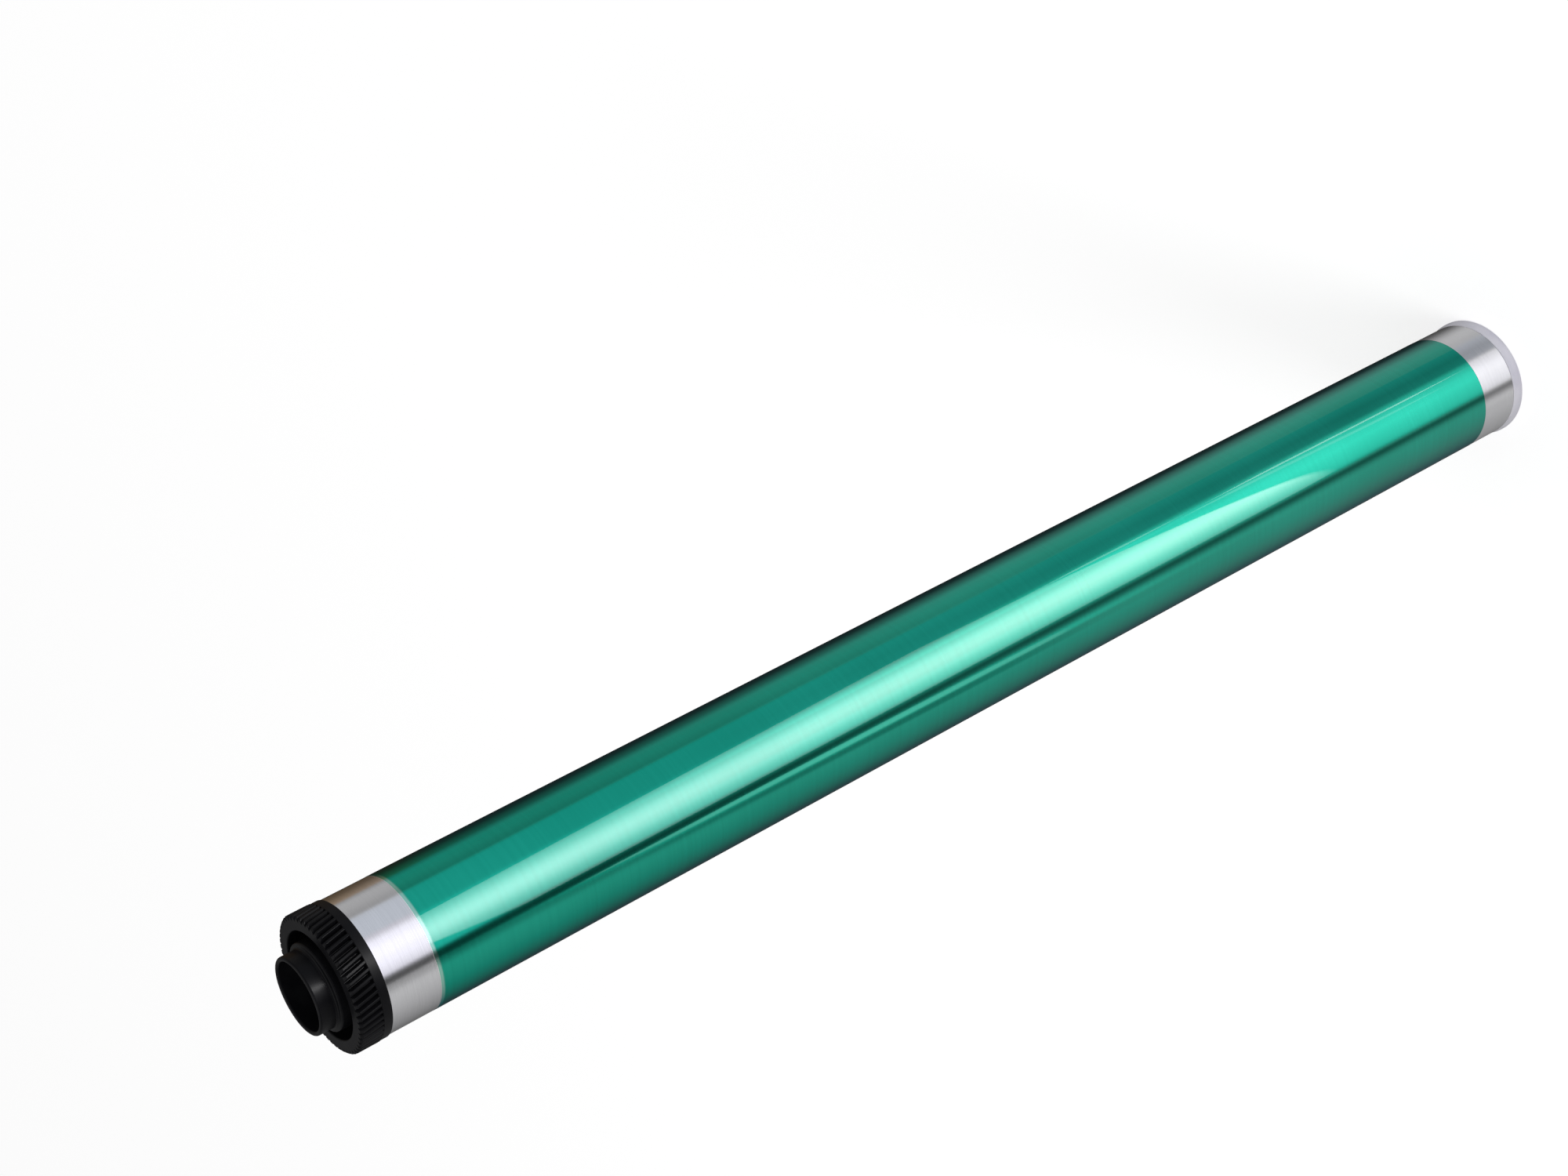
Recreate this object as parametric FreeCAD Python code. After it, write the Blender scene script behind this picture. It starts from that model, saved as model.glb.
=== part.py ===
import FreeCAD, Part
import math
import os

# Photoconductor drum of an office copier: a coated aluminium tube between two moulded flanges.
# It stands on its end flange: the origin is the centre of that flange's flat outer face,
# and +Z runs up the drum's axis to the drive gear. All sizes are in millimetres.

# Aluminium tube
TUBE_OUTER_RADIUS = 15.0
TUBE_LENGTH = 340.0
TUBE_WALL = 0.75
REGISTER_CUT = 0.1          # turned off the wall where a flange is seated
REGISTER_RUNOUT = 0.7       # register left over past the spigot and the earth plate
TUBE_EDGE_BREAK = 0.15

# Green photoconductor coating
COATING_THICKNESS = 0.03
BARE_BAND_AT_GEAR = 11.4
BARE_BAND_AT_FLANGE = 11.2

# Spigot, hub and ribs, which both flanges have alike
SPIGOT_LENGTH = 8.0
SPIGOT_CLEARANCE = 0.02
SPIGOT_WALL = 1.5
SHAFT_BORE_RADIUS = 4.0
SHAFT_BORE_LEAD = 0.4
HUB_WALL = 2.0
HUB_SETBACK = 1.3           # the hub ends this far short of the spigot's end
RIB_COUNT = 6
RIB_THICKNESS = 1.2
RIB_DEPTH = 4.5

# Drive gear flange, one black moulding
GEAR_COLLAR_STEP = 0.2      # collar proud of the tube
GEAR_COLLAR_HEIGHT = 2.0
GEAR_TIP_STEP = 0.3         # tooth tips proud of the tube
GEAR_FACE_WIDTH = 5.3
GEAR_TEETH = 60
GEAR_ADDENDUM = 1.0         # in modules
GEAR_DEDENDUM = 1.25        # in modules
GEAR_PRESSURE_ANGLE = 20.0
GEAR_HELIX_ANGLE = 12.0     # left-hand
GEAR_FRONT_CHAMFER = 0.5
GEAR_RING_WALL = 2.2        # ring between the tooth roots and the recess
RECESS_WIDTH = 2.25
RECESS_DEPTH = 5.2
GEAR_WEB_THICKNESS = 2.0
SHOULDER_HEIGHT = 1.0       # shoulder of the nose above the gear's front face
SHOULDER_STEP = 1.1
SHOULDER_BEVEL = 0.45
NOSE_HEIGHT = 4.0
NOSE_WALL = 1.05
NOSE_ROOT_BEVEL = 0.45
NOSE_LIP_BEVEL = 0.25
SOCKET_DEPTH = 10.0

# End flange, one natural white moulding
END_COLLAR_STEP = 0.4       # collar proud of the tube
END_COLLAR_HEIGHT = 3.0
END_COLLAR_BEVEL = 0.3
END_RIM_WIDTH = 3.0
END_RECESS_DEPTH = 1.0
END_WEB_THICKNESS = 1.8

# Earth plate, stamped from spring sheet, and the pins that hold it on the end flange
PLATE_THICKNESS = 0.3
PLATE_END_BAND = 4.8        # sheet left round each pin
PLATE_SIDE_BAND = 1.8
PLATE_SHAFT_MARGIN = 1.5    # between the shaft and the sides of the plate's window
BARB_COUNT = 4
BARB_WIDTH = 3.0
BARB_POINT = 1.0
BARB_GAP = 0.02             # between a barb's point and the tube's wall
TONGUE_WIDTH = 2.2
TONGUE_RISE = 1.0
TONGUE_GAP = 0.05           # between a tongue's tip and the shaft
PIN_BOSS_RADIUS = 1.8
PIN_RADIUS = 0.75
PIN_CLEARANCE = 0.02
PIN_PROUD = 0.6             # height of the pins above the plate

# Places and radii that follow from the sizes above
TUBE_BOTTOM = END_COLLAR_HEIGHT
TUBE_TOP = TUBE_BOTTOM + TUBE_LENGTH
TUBE_INNER_RADIUS = TUBE_OUTER_RADIUS - TUBE_WALL
REGISTER_RADIUS = TUBE_INNER_RADIUS + REGISTER_CUT
REGISTER_DEPTH = SPIGOT_LENGTH + PLATE_THICKNESS + REGISTER_RUNOUT

SPIGOT_RADIUS = REGISTER_RADIUS - SPIGOT_CLEARANCE
SPIGOT_INNER_RADIUS = SPIGOT_RADIUS - SPIGOT_WALL
HUB_RADIUS = SHAFT_BORE_RADIUS + HUB_WALL

GEAR_TIP_RADIUS = TUBE_OUTER_RADIUS + GEAR_TIP_STEP
GEAR_MODULE = 2 * GEAR_TIP_RADIUS / (GEAR_TEETH + 2 * GEAR_ADDENDUM)
GEAR_PITCH_RADIUS = GEAR_TIP_RADIUS - GEAR_ADDENDUM * GEAR_MODULE
GEAR_ROOT_RADIUS = GEAR_PITCH_RADIUS - GEAR_DEDENDUM * GEAR_MODULE
GEAR_TOOTH_BOTTOM = TUBE_TOP + GEAR_COLLAR_HEIGHT
GEAR_FRONT = GEAR_TOOTH_BOTTOM + GEAR_FACE_WIDTH
RECESS_OUTER_RADIUS = GEAR_ROOT_RADIUS - GEAR_RING_WALL
RECESS_FLOOR = GEAR_FRONT - RECESS_DEPTH
GEAR_WEB_UNDERSIDE = RECESS_FLOOR - GEAR_WEB_THICKNESS
SHOULDER_RADIUS = RECESS_OUTER_RADIUS - RECESS_WIDTH
SHOULDER_TOP = GEAR_FRONT + SHOULDER_HEIGHT
NOSE_RADIUS = SHOULDER_RADIUS - SHOULDER_STEP
NOSE_TOP = SHOULDER_TOP + NOSE_HEIGHT
SOCKET_RADIUS = NOSE_RADIUS - NOSE_WALL
SOCKET_FLOOR = NOSE_TOP - SOCKET_DEPTH

END_COLLAR_RADIUS = TUBE_OUTER_RADIUS + END_COLLAR_STEP
END_RIM_INNER_RADIUS = END_COLLAR_RADIUS - END_RIM_WIDTH
END_WEB_TOP = END_RECESS_DEPTH + END_WEB_THICKNESS
END_SPIGOT_TOP = TUBE_BOTTOM + SPIGOT_LENGTH
PIN_CIRCLE_RADIUS = (HUB_RADIUS + SPIGOT_INNER_RADIUS) / 2
PLATE_TOP = END_SPIGOT_TOP + PLATE_THICKNESS
PIN_ANGLES = (0.0, 180.0)

ORIGIN = FreeCAD.Vector(0, 0, 0)
UP = FreeCAD.Vector(0, 0, 1)
OVERRUN = 1.0               # how far a cutting tool runs past an open face
MATCH = 0.001               # how closely an edge is told by its radius and height


def turned(outline):
    """Solid turned about the axis from the (radius, height) corners of half its section."""
    corners = [FreeCAD.Vector(radius, 0, height) for radius, height in outline]
    section = Part.Face(Part.makePolygon(corners + corners[:1]))
    return section.revolve(ORIGIN, UP, 360)


def disc(radius, bottom, top):
    """Plain cylinder on the axis between two heights."""
    return Part.makeCylinder(radius, top - bottom, FreeCAD.Vector(0, 0, bottom))


def ring(outer, inner, bottom, top):
    """Tube on the axis between two heights."""
    return turned([(inner, bottom), (outer, bottom), (outer, top), (inner, top)])


def rim_edges(solid, radius, height):
    """The full circular edges of a solid that have this radius and lie at this height."""
    found = []
    for edge in solid.Edges:
        if isinstance(edge.Curve, Part.Circle):
            same_radius = abs(edge.Curve.Radius - radius) < MATCH
            same_height = abs(edge.Curve.Center.z - height) < MATCH
            if same_radius and same_height:
                found.append(edge)
    return found


def chamfered(solid, radius, height, size):
    """The solid with its circular edge at this radius and height chamfered."""
    return solid.makeChamfer(size, rim_edges(solid, radius, height))


def around(shape, angles):
    """Copies of a shape turned about the axis to each angle in degrees."""
    copies = []
    for angle in angles:
        turned_copy = shape.copy()
        turned_copy.rotate(ORIGIN, UP, angle)
        copies.append(turned_copy)
    return copies


def ribs(bottom, top):
    """Radial ribs that tie a flange's hub to its spigot between two heights."""
    inner = HUB_RADIUS - HUB_WALL / 2
    outer = SPIGOT_INNER_RADIUS + SPIGOT_WALL / 2
    corner = FreeCAD.Vector(inner, -RIB_THICKNESS / 2, bottom)
    rib = Part.makeBox(outer - inner, RIB_THICKNESS, top - bottom, corner)
    return around(rib, [360.0 * index / RIB_COUNT for index in range(RIB_COUNT)])


def drum_tube():
    """Drawn tube, turned at both ends to a register bore that takes a flange's spigot."""
    tube = ring(TUBE_OUTER_RADIUS, TUBE_INNER_RADIUS, TUBE_BOTTOM, TUBE_TOP)
    tube = tube.cut(disc(REGISTER_RADIUS, TUBE_BOTTOM - OVERRUN, TUBE_BOTTOM + REGISTER_DEPTH))
    tube = tube.cut(disc(REGISTER_RADIUS, TUBE_TOP - REGISTER_DEPTH, TUBE_TOP + OVERRUN))
    for height in (TUBE_BOTTOM, TUBE_TOP):
        tube = chamfered(tube, TUBE_OUTER_RADIUS, height, TUBE_EDGE_BREAK)
    return tube


def photoconductor_coating():
    """Coating dipped on to the tube, with a bare band left at each end."""
    bottom = TUBE_BOTTOM + BARE_BAND_AT_FLANGE
    top = TUBE_TOP - BARE_BAND_AT_GEAR
    return ring(TUBE_OUTER_RADIUS + COATING_THICKNESS, TUBE_OUTER_RADIUS, bottom, top)


def involute(angle):
    """Involute function of a pressure angle in radians."""
    return math.tan(angle) - angle


def tooth_half_angle(radius):
    """Half the angle that a tooth takes up at a radius, from its involute flanks."""
    at_pitch = math.radians(GEAR_PRESSURE_ANGLE)
    base_radius = GEAR_PITCH_RADIUS * math.cos(at_pitch)
    at_radius = math.acos(base_radius / radius)
    return math.pi / (2 * GEAR_TEETH) + involute(at_pitch) - involute(at_radius)


def gear_outline(height, turn):
    """Closed outline of the toothed ring at a height, turned by an angle in radians."""
    rising = [(radius, -tooth_half_angle(radius)) for radius in (GEAR_ROOT_RADIUS, GEAR_TIP_RADIUS)]
    falling = [(radius, -angle) for radius, angle in reversed(rising)]
    corners = []
    for tooth in range(GEAR_TEETH):
        middle = turn + 2 * math.pi * tooth / GEAR_TEETH
        for radius, offset in rising + falling:
            angle = middle + offset
            corners.append(FreeCAD.Vector(radius * math.cos(angle), radius * math.sin(angle), height))
    return Part.makePolygon(corners + corners[:1])


def helical_teeth():
    """Disc with helical teeth all round, chamfered at the front over the tooth ends."""
    helix_turn = -math.tan(math.radians(GEAR_HELIX_ANGLE)) * GEAR_FACE_WIDTH / GEAR_PITCH_RADIUS
    outlines = [gear_outline(GEAR_TOOTH_BOTTOM, 0.0), gear_outline(GEAR_FRONT, helix_turn)]
    toothed = Part.makeLoft(outlines, True, True)
    blank_radius = GEAR_TIP_RADIUS + OVERRUN
    blank = turned([
        (0, GEAR_TOOTH_BOTTOM - OVERRUN),
        (blank_radius, GEAR_TOOTH_BOTTOM - OVERRUN),
        (blank_radius, GEAR_FRONT - GEAR_FRONT_CHAMFER - OVERRUN),
        (GEAR_TIP_RADIUS - GEAR_FRONT_CHAMFER, GEAR_FRONT),
        (0, GEAR_FRONT),
    ])
    return toothed.common(blank)


def nose():
    """Round boss standing up from the gear's web, with a bevelled shoulder below its lip."""
    return turned([
        (0, RECESS_FLOOR - GEAR_WEB_THICKNESS / 2),
        (SHOULDER_RADIUS, RECESS_FLOOR - GEAR_WEB_THICKNESS / 2),
        (SHOULDER_RADIUS, SHOULDER_TOP - SHOULDER_BEVEL),
        (SHOULDER_RADIUS - SHOULDER_BEVEL, SHOULDER_TOP),
        (NOSE_RADIUS + NOSE_ROOT_BEVEL, SHOULDER_TOP),
        (NOSE_RADIUS, SHOULDER_TOP + NOSE_ROOT_BEVEL),
        (NOSE_RADIUS, NOSE_TOP - NOSE_LIP_BEVEL),
        (NOSE_RADIUS - NOSE_LIP_BEVEL, NOSE_TOP),
        (0, NOSE_TOP),
    ])


def drive_gear_flange():
    """Gear ring, web, hollow nose, hub and spigot in one moulding, seated on the tube's top end."""
    spigot_bottom = TUBE_TOP - SPIGOT_LENGTH
    hub_bottom = spigot_bottom + HUB_SETBACK
    collar = disc(TUBE_OUTER_RADIUS + GEAR_COLLAR_STEP, TUBE_TOP, GEAR_TOOTH_BOTTOM)
    spigot = disc(SPIGOT_RADIUS, spigot_bottom, TUBE_TOP)
    flange = collar.multiFuse([spigot, helical_teeth()])
    flange = flange.cut(disc(RECESS_OUTER_RADIUS, RECESS_FLOOR, GEAR_FRONT + OVERRUN))
    flange = flange.cut(disc(SPIGOT_INNER_RADIUS, spigot_bottom - OVERRUN, GEAR_WEB_UNDERSIDE))
    hub = disc(HUB_RADIUS, hub_bottom, RECESS_FLOOR)
    flange = flange.multiFuse([hub, nose()] + ribs(GEAR_WEB_UNDERSIDE - RIB_DEPTH, GEAR_WEB_UNDERSIDE))
    bore = disc(SHAFT_BORE_RADIUS, hub_bottom - OVERRUN, NOSE_TOP)
    socket = disc(SOCKET_RADIUS, SOCKET_FLOOR, NOSE_TOP + OVERRUN)
    flange = flange.cut(bore.fuse(socket)).removeSplitter()
    flange = chamfered(flange, SHAFT_BORE_RADIUS, SOCKET_FLOOR, SHAFT_BORE_LEAD)
    return chamfered(flange, SOCKET_RADIUS, NOSE_TOP, NOSE_LIP_BEVEL)


def pin():
    """Moulded pin on its boss, standing on the axis: the earth plate is pressed over it."""
    boss = disc(PIN_BOSS_RADIUS, END_RECESS_DEPTH, END_SPIGOT_TOP)
    return boss.fuse(disc(PIN_RADIUS, END_RECESS_DEPTH, PLATE_TOP + PIN_PROUD))


def on_pin_circle(shape):
    """Copies of a shape moved from the axis to each pin's place."""
    return around(shape.translated(FreeCAD.Vector(PIN_CIRCLE_RADIUS, 0, 0)), PIN_ANGLES)


def end_flange():
    """Collar, web, hub, ribs and spigot in one moulding, seated on the tube's bottom end."""
    collar = disc(END_COLLAR_RADIUS, 0, TUBE_BOTTOM)
    collar = chamfered(collar, END_COLLAR_RADIUS, 0, END_COLLAR_BEVEL)
    flange = collar.fuse(disc(SPIGOT_RADIUS, TUBE_BOTTOM, END_SPIGOT_TOP))
    flange = flange.cut(disc(SPIGOT_INNER_RADIUS, END_WEB_TOP, END_SPIGOT_TOP + OVERRUN))
    flange = flange.cut(disc(END_RIM_INNER_RADIUS, -OVERRUN, END_RECESS_DEPTH))
    hub = disc(HUB_RADIUS, END_RECESS_DEPTH, END_SPIGOT_TOP - HUB_SETBACK)
    flange = flange.multiFuse([hub] + on_pin_circle(pin()) + ribs(END_WEB_TOP, END_WEB_TOP + RIB_DEPTH))
    flange = flange.cut(disc(SHAFT_BORE_RADIUS, -OVERRUN, END_SPIGOT_TOP)).removeSplitter()
    return chamfered(flange, SHAFT_BORE_RADIUS, END_RECESS_DEPTH, SHAFT_BORE_LEAD)


def block(half_x, half_y, bottom, top):
    """Rectangular block centred on the axis between two heights."""
    corner = FreeCAD.Vector(-half_x, -half_y, bottom)
    return Part.makeBox(2 * half_x, 2 * half_y, top - bottom, corner)


def barb():
    """Pointed tab that reaches from the earth plate's edge to the tube's wall."""
    root = SHAFT_BORE_RADIUS + PLATE_SHAFT_MARGIN + PLATE_SIDE_BAND / 2
    point = REGISTER_RADIUS - BARB_GAP
    half_width = BARB_WIDTH / 2
    corners = [
        (root, -half_width),
        (point - BARB_POINT, -half_width),
        (point, 0),
        (point - BARB_POINT, half_width),
        (root, half_width),
    ]
    outline = [FreeCAD.Vector(x, y, END_SPIGOT_TOP) for x, y in corners]
    return Part.Face(Part.makePolygon(outline + outline[:1])).extrude(UP * PLATE_THICKNESS)


def tongue():
    """Springy tab that rises from the end of the earth plate's window towards the shaft."""
    root = PIN_CIRCLE_RADIUS - PLATE_END_BAND / 2
    tip = SHAFT_BORE_RADIUS + TONGUE_GAP
    side = [
        (PIN_CIRCLE_RADIUS, END_SPIGOT_TOP),
        (root, END_SPIGOT_TOP),
        (tip, END_SPIGOT_TOP + TONGUE_RISE),
        (tip, PLATE_TOP + TONGUE_RISE),
        (root, PLATE_TOP),
        (PIN_CIRCLE_RADIUS, PLATE_TOP),
    ]
    outline = [FreeCAD.Vector(x, -TONGUE_WIDTH / 2, z) for x, z in side]
    face = Part.Face(Part.makePolygon(outline + outline[:1]))
    return face.extrude(FreeCAD.Vector(0, TONGUE_WIDTH, 0))


def earth_plate():
    """Stamped plate that joins the tube to the shaft, pressed on the end flange's pins."""
    window_x = PIN_CIRCLE_RADIUS - PLATE_END_BAND / 2
    window_y = SHAFT_BORE_RADIUS + PLATE_SHAFT_MARGIN
    sheet = block(window_x + PLATE_END_BAND, window_y + PLATE_SIDE_BAND, END_SPIGOT_TOP, PLATE_TOP)
    sheet = sheet.common(disc(SPIGOT_INNER_RADIUS, END_SPIGOT_TOP, PLATE_TOP))
    barbs = around(barb(), [360.0 * index / BARB_COUNT for index in range(BARB_COUNT)])
    sheet = sheet.multiFuse(barbs)
    sheet = sheet.cut(block(window_x, window_y, END_SPIGOT_TOP, PLATE_TOP))
    tongues = around(tongue(), PIN_ANGLES)
    hole = disc(PIN_RADIUS + PIN_CLEARANCE, END_SPIGOT_TOP - OVERRUN, PLATE_TOP + OVERRUN)
    plate = sheet.multiFuse(tongues).cut(Part.makeCompound(on_pin_circle(hole)))
    return plate.removeSplitter()


SUB_PARTS = {
    "drum_tube": drum_tube,
    "photoconductor_coating": photoconductor_coating,
    "drive_gear_flange": drive_gear_flange,
    "end_flange": end_flange,
    "earth_plate": earth_plate,
}

os.makedirs("parts", exist_ok=True)
for name, build in SUB_PARTS.items():
    shape = build()
    print(name, shape.isValid(), len(shape.Solids), round(shape.Volume, 2), "mm3")
    shape.exportStep("parts/" + name + ".step")
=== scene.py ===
import math

import bpy
import numpy as np
from mathutils import Matrix, Vector


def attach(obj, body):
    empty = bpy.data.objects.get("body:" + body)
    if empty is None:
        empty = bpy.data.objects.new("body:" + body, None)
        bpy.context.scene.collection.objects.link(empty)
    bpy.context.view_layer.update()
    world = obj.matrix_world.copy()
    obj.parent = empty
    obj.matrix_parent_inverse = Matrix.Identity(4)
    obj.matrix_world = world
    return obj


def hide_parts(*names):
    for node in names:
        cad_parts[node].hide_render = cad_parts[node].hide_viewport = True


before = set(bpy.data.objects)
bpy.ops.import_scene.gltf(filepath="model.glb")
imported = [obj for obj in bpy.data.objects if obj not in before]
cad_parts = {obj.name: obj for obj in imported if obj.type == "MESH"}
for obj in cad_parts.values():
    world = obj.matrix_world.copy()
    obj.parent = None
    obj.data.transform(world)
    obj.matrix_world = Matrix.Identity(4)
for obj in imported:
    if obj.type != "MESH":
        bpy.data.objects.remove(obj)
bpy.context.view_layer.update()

# Drum tube: a drawn aluminium tube, 30 mm across and 340 mm long, with a 0.75 mm wall. It is
# turned bright all over, its outer edges are broken, and a shallow register is bored in each
# end for the flange that is glued there. Only a bare band at each end is left uncoated.
MM = 0.001
TUBE_RADIUS = 15.0
TUBE_WALL = 0.75
TUBE_BORE_RADIUS = TUBE_RADIUS - TUBE_WALL
TUBE_LENGTH = 340.0
TUBE_BOTTOM = 3.0
TUBE_TOP = TUBE_BOTTOM + TUBE_LENGTH
TUBE_EDGE_BREAK = 0.15
TUBE_EDGE_FILLET = 0.05
TUBE_COLUMNS = 720
REGISTER_CUT = 0.1
REGISTER_RADIUS = TUBE_BORE_RADIUS + REGISTER_CUT
REGISTER_DEPTH = 9.0
TOGETHER = 1e-6
ALUMINIUM_DARK = (0.77, 0.77, 0.79, 1.0)
ALUMINIUM_LIGHT = (0.83, 0.83, 0.85, 1.0)


def section(corners, steps=5, guard=0.04):
    """Closed half-section, in metres, from (radius, height, fillet) corners in millimetres.

    Each corner becomes an arc tangent to both of its sides. The arc starts and ends at
    fillet x tan(half the turn) from the corner. Between them it is the rational quadratic
    curve of start, corner and end in which the corner's weight is the cosine of half the turn.
    One more point lies just outside each end of an arc, so that shading stays flat beside it.
    Points that fall together are left out but for the first.
    """
    corner = np.array(corners, float)[:, :2]
    fillet = np.array(corners, float)[:, 2:]
    arriving = corner - np.roll(corner, 1, 0)
    arriving /= np.linalg.norm(arriving, axis=1, keepdims=True)
    leaving = np.roll(arriving, -1, 0)
    half_turn = np.arccos(np.clip((arriving * leaving).sum(1, keepdims=True), -1, 1)) / 2
    cut = fillet * np.tan(half_turn)
    start = (corner - arriving * cut)[:, None]
    end = (corner + leaving * cut)[:, None]
    t = np.linspace(0, 1, steps + 1)[None, :, None]
    pull = 2 * np.cos(half_turn)[:, None] * t * (1 - t)
    arc = (1 - t) ** 2 * start + pull * corner[:, None] + t ** 2 * end
    arc = arc / ((1 - t) ** 2 + pull + t ** 2)
    margin = np.where(fillet > 0, guard, 0)
    before = (corner - arriving * (cut + margin))[:, None]
    after = (corner + leaving * (cut + margin))[:, None]
    points = np.concatenate([before, arc, after], 1).reshape(-1, 2)
    apart = np.linalg.norm(points - np.roll(points, 1, 0), axis=1)
    return points[apart > TOGETHER] * MM


def ring_shell(radius, height, angle):
    """Closed shell in which point (i, j) is radius[i, j] from the axis at angle[i, j].

    Rows go round the section and columns round the axis. Quad (i, j) joins rows i and i + 1
    and columns j and j + 1, both counted round, so the shell has no seam and faces outwards.
    """
    radius, height, angle = np.broadcast_arrays(radius, height, angle)
    points = np.stack([radius * np.cos(angle), radius * np.sin(angle), height], -1)
    index = np.arange(radius.size).reshape(radius.shape)
    beside = np.roll(index, -1, 1)
    above = np.roll(index, -1, 0)
    quads = np.stack([index, beside, np.roll(beside, -1, 0), above], -1)
    return points.reshape(-1, 3), quads.reshape(-1, 4)


def turned_shell(corners, columns, steps=5):
    """Section carried once round the axis: each point keeps its radius and height."""
    points = section(corners, steps)
    angle = np.arange(columns)[None] * 2 * math.pi / columns
    return ring_shell(points[:, :1], points[:, 1:], angle)


def piece_of(name, shells, material, smooth_below=32.0):
    """Mesh object at the origin made of closed shells, shaded smooth up to an angle."""
    points = np.concatenate([shell[0] for shell in shells])
    first = np.cumsum([0] + [len(shell[0]) for shell in shells[:-1]])
    quads = np.concatenate([shell[1] + start for shell, start in zip(shells, first)])
    mesh = bpy.data.meshes.new(name)
    mesh.vertices.add(len(points))
    mesh.vertices.foreach_set("co", points.astype(np.float32).ravel())
    mesh.loops.add(quads.size)
    mesh.loops.foreach_set("vertex_index", quads.astype(np.int32).ravel())
    mesh.polygons.add(len(quads))
    mesh.polygons.foreach_set("loop_start", np.arange(0, quads.size, 4, dtype=np.int32))
    mesh.polygons.foreach_set("use_smooth", np.ones(len(quads), bool))
    mesh.update(calc_edges=True)
    mesh.set_sharp_from_angle(angle=math.radians(smooth_below))
    mesh.materials.append(material)
    piece = bpy.data.objects.new(name, mesh)
    bpy.context.scene.collection.objects.link(piece)
    return piece


class Wire:
    """A node socket that is written into sums; each operator adds the Math node it needs."""

    def __init__(self, tree, socket=None):
        self.tree = tree
        self.socket = socket

    def node(self, kind, values=(), output=0, stops=(), **settings):
        """Adds a node: its settings, its ramp's stops, then values or links by socket."""
        made = self.tree.nodes.new("ShaderNode" + kind)
        for name, value in settings.items():
            setattr(made, name, value)
        for number, (position, colour) in enumerate(stops):
            ramp = made.color_ramp.elements
            stop = ramp[number] if number < 2 else ramp.new(position)
            stop.position = position
            stop.color = colour
        for name, value in dict(values).items():
            if isinstance(value, Wire):
                self.tree.links.new(value.socket, made.inputs[name])
            else:
                made.inputs[name].default_value = value
        return Wire(self.tree, made.outputs[output] if len(made.outputs) else None)

    def math(self, operation, *operands):
        return self.node("Math", enumerate(operands), operation=operation)

    def __add__(self, other):
        return self.math("ADD", self, other)

    def __sub__(self, other):
        return self.math("SUBTRACT", self, other)

    def __mul__(self, other):
        return self.math("MULTIPLY", self, other)

    __radd__ = __add__
    __rmul__ = __mul__

    def rise(self, low, high):
        """0 below low, 1 above high, and a smooth step between them; falls if low > high."""
        values = {0: self, 1: low, 2: high, 3: 0.0, 4: 1.0}
        return self.node("MapRange", values, interpolation_type="SMOOTHSTEP")

    def mix(self, none, full):
        """Colour that goes from none to full as this socket goes from 0 to 1."""
        return self.node("Mix", {0: self, 6: none, 7: full}, output=2, data_type="RGBA")

    def part(self, axis):
        return self.node("SeparateXYZ", {0: self}, output=axis)

    def noise(self, stretch, detail=2.0, rough=0.5):
        """Noise between 0 and 1 on this vector multiplied by stretch along each axis."""
        spread = self.node("VectorMath", {0: self, 1: stretch}, operation="MULTIPLY")
        values = {"Vector": spread, "Scale": 1.0, "Detail": detail, "Roughness": rough}
        return self.node("TexNoise", values)

    def bump(self, strength, distance):
        values = {"Height": self, "Strength": strength, "Distance": distance}
        return self.node("Bump", values)


def finish(name, **fixed):
    """New material with fixed values on its shader's own sockets.

    Returns the material, a Wire of object coordinates and a function that feeds a socket.
    """
    material = bpy.data.materials.new(name)
    material.use_nodes = True
    tree = material.node_tree
    shader = tree.nodes["Principled BSDF"]
    for socket, value in fixed.items():
        shader.inputs[socket.replace("_", " ")].default_value = value

    def feed(socket, wire):
        tree.links.new(wire.socket, shader.inputs[socket])

    return material, Wire(tree).node("TexCoord", output="Object"), feed


aluminium, place, feed = finish(
    "turned_aluminium", Metallic=1.0, Anisotropic=0.8, Anisotropic_Rotation=0.25
)
turning_lines = place.noise((90.0, 90.0, 7000.0), detail=4.0, rough=0.6)
smudges = place.noise((160.0, 160.0, 110.0), detail=3.0)
feed("Base Color", turning_lines.rise(0.3, 0.7).mix(ALUMINIUM_DARK, ALUMINIUM_LIGHT))
feed("Roughness", 0.16 + 0.03 * turning_lines + 0.05 * smudges)
feed("Normal", turning_lines.bump(0.05, 0.004 * MM))

tube_shell = turned_shell(
    [
        (TUBE_RADIUS - TUBE_EDGE_BREAK, TUBE_BOTTOM, TUBE_EDGE_FILLET),
        (TUBE_RADIUS, TUBE_BOTTOM + TUBE_EDGE_BREAK, TUBE_EDGE_FILLET),
        (TUBE_RADIUS, TUBE_TOP - TUBE_EDGE_BREAK, TUBE_EDGE_FILLET),
        (TUBE_RADIUS - TUBE_EDGE_BREAK, TUBE_TOP, TUBE_EDGE_FILLET),
        (REGISTER_RADIUS, TUBE_TOP, 0.0),
        (REGISTER_RADIUS, TUBE_TOP - REGISTER_DEPTH, 0.0),
        (TUBE_BORE_RADIUS, TUBE_TOP - REGISTER_DEPTH, 0.0),
        (TUBE_BORE_RADIUS, TUBE_BOTTOM + REGISTER_DEPTH, 0.0),
        (REGISTER_RADIUS, TUBE_BOTTOM + REGISTER_DEPTH, 0.0),
        (REGISTER_RADIUS, TUBE_BOTTOM, 0.0),
    ],
    TUBE_COLUMNS,
    steps=3,
)
tube = piece_of("bare_tube", [tube_shell], aluminium)
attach(tube, "root")
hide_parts("drum_tube")

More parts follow.
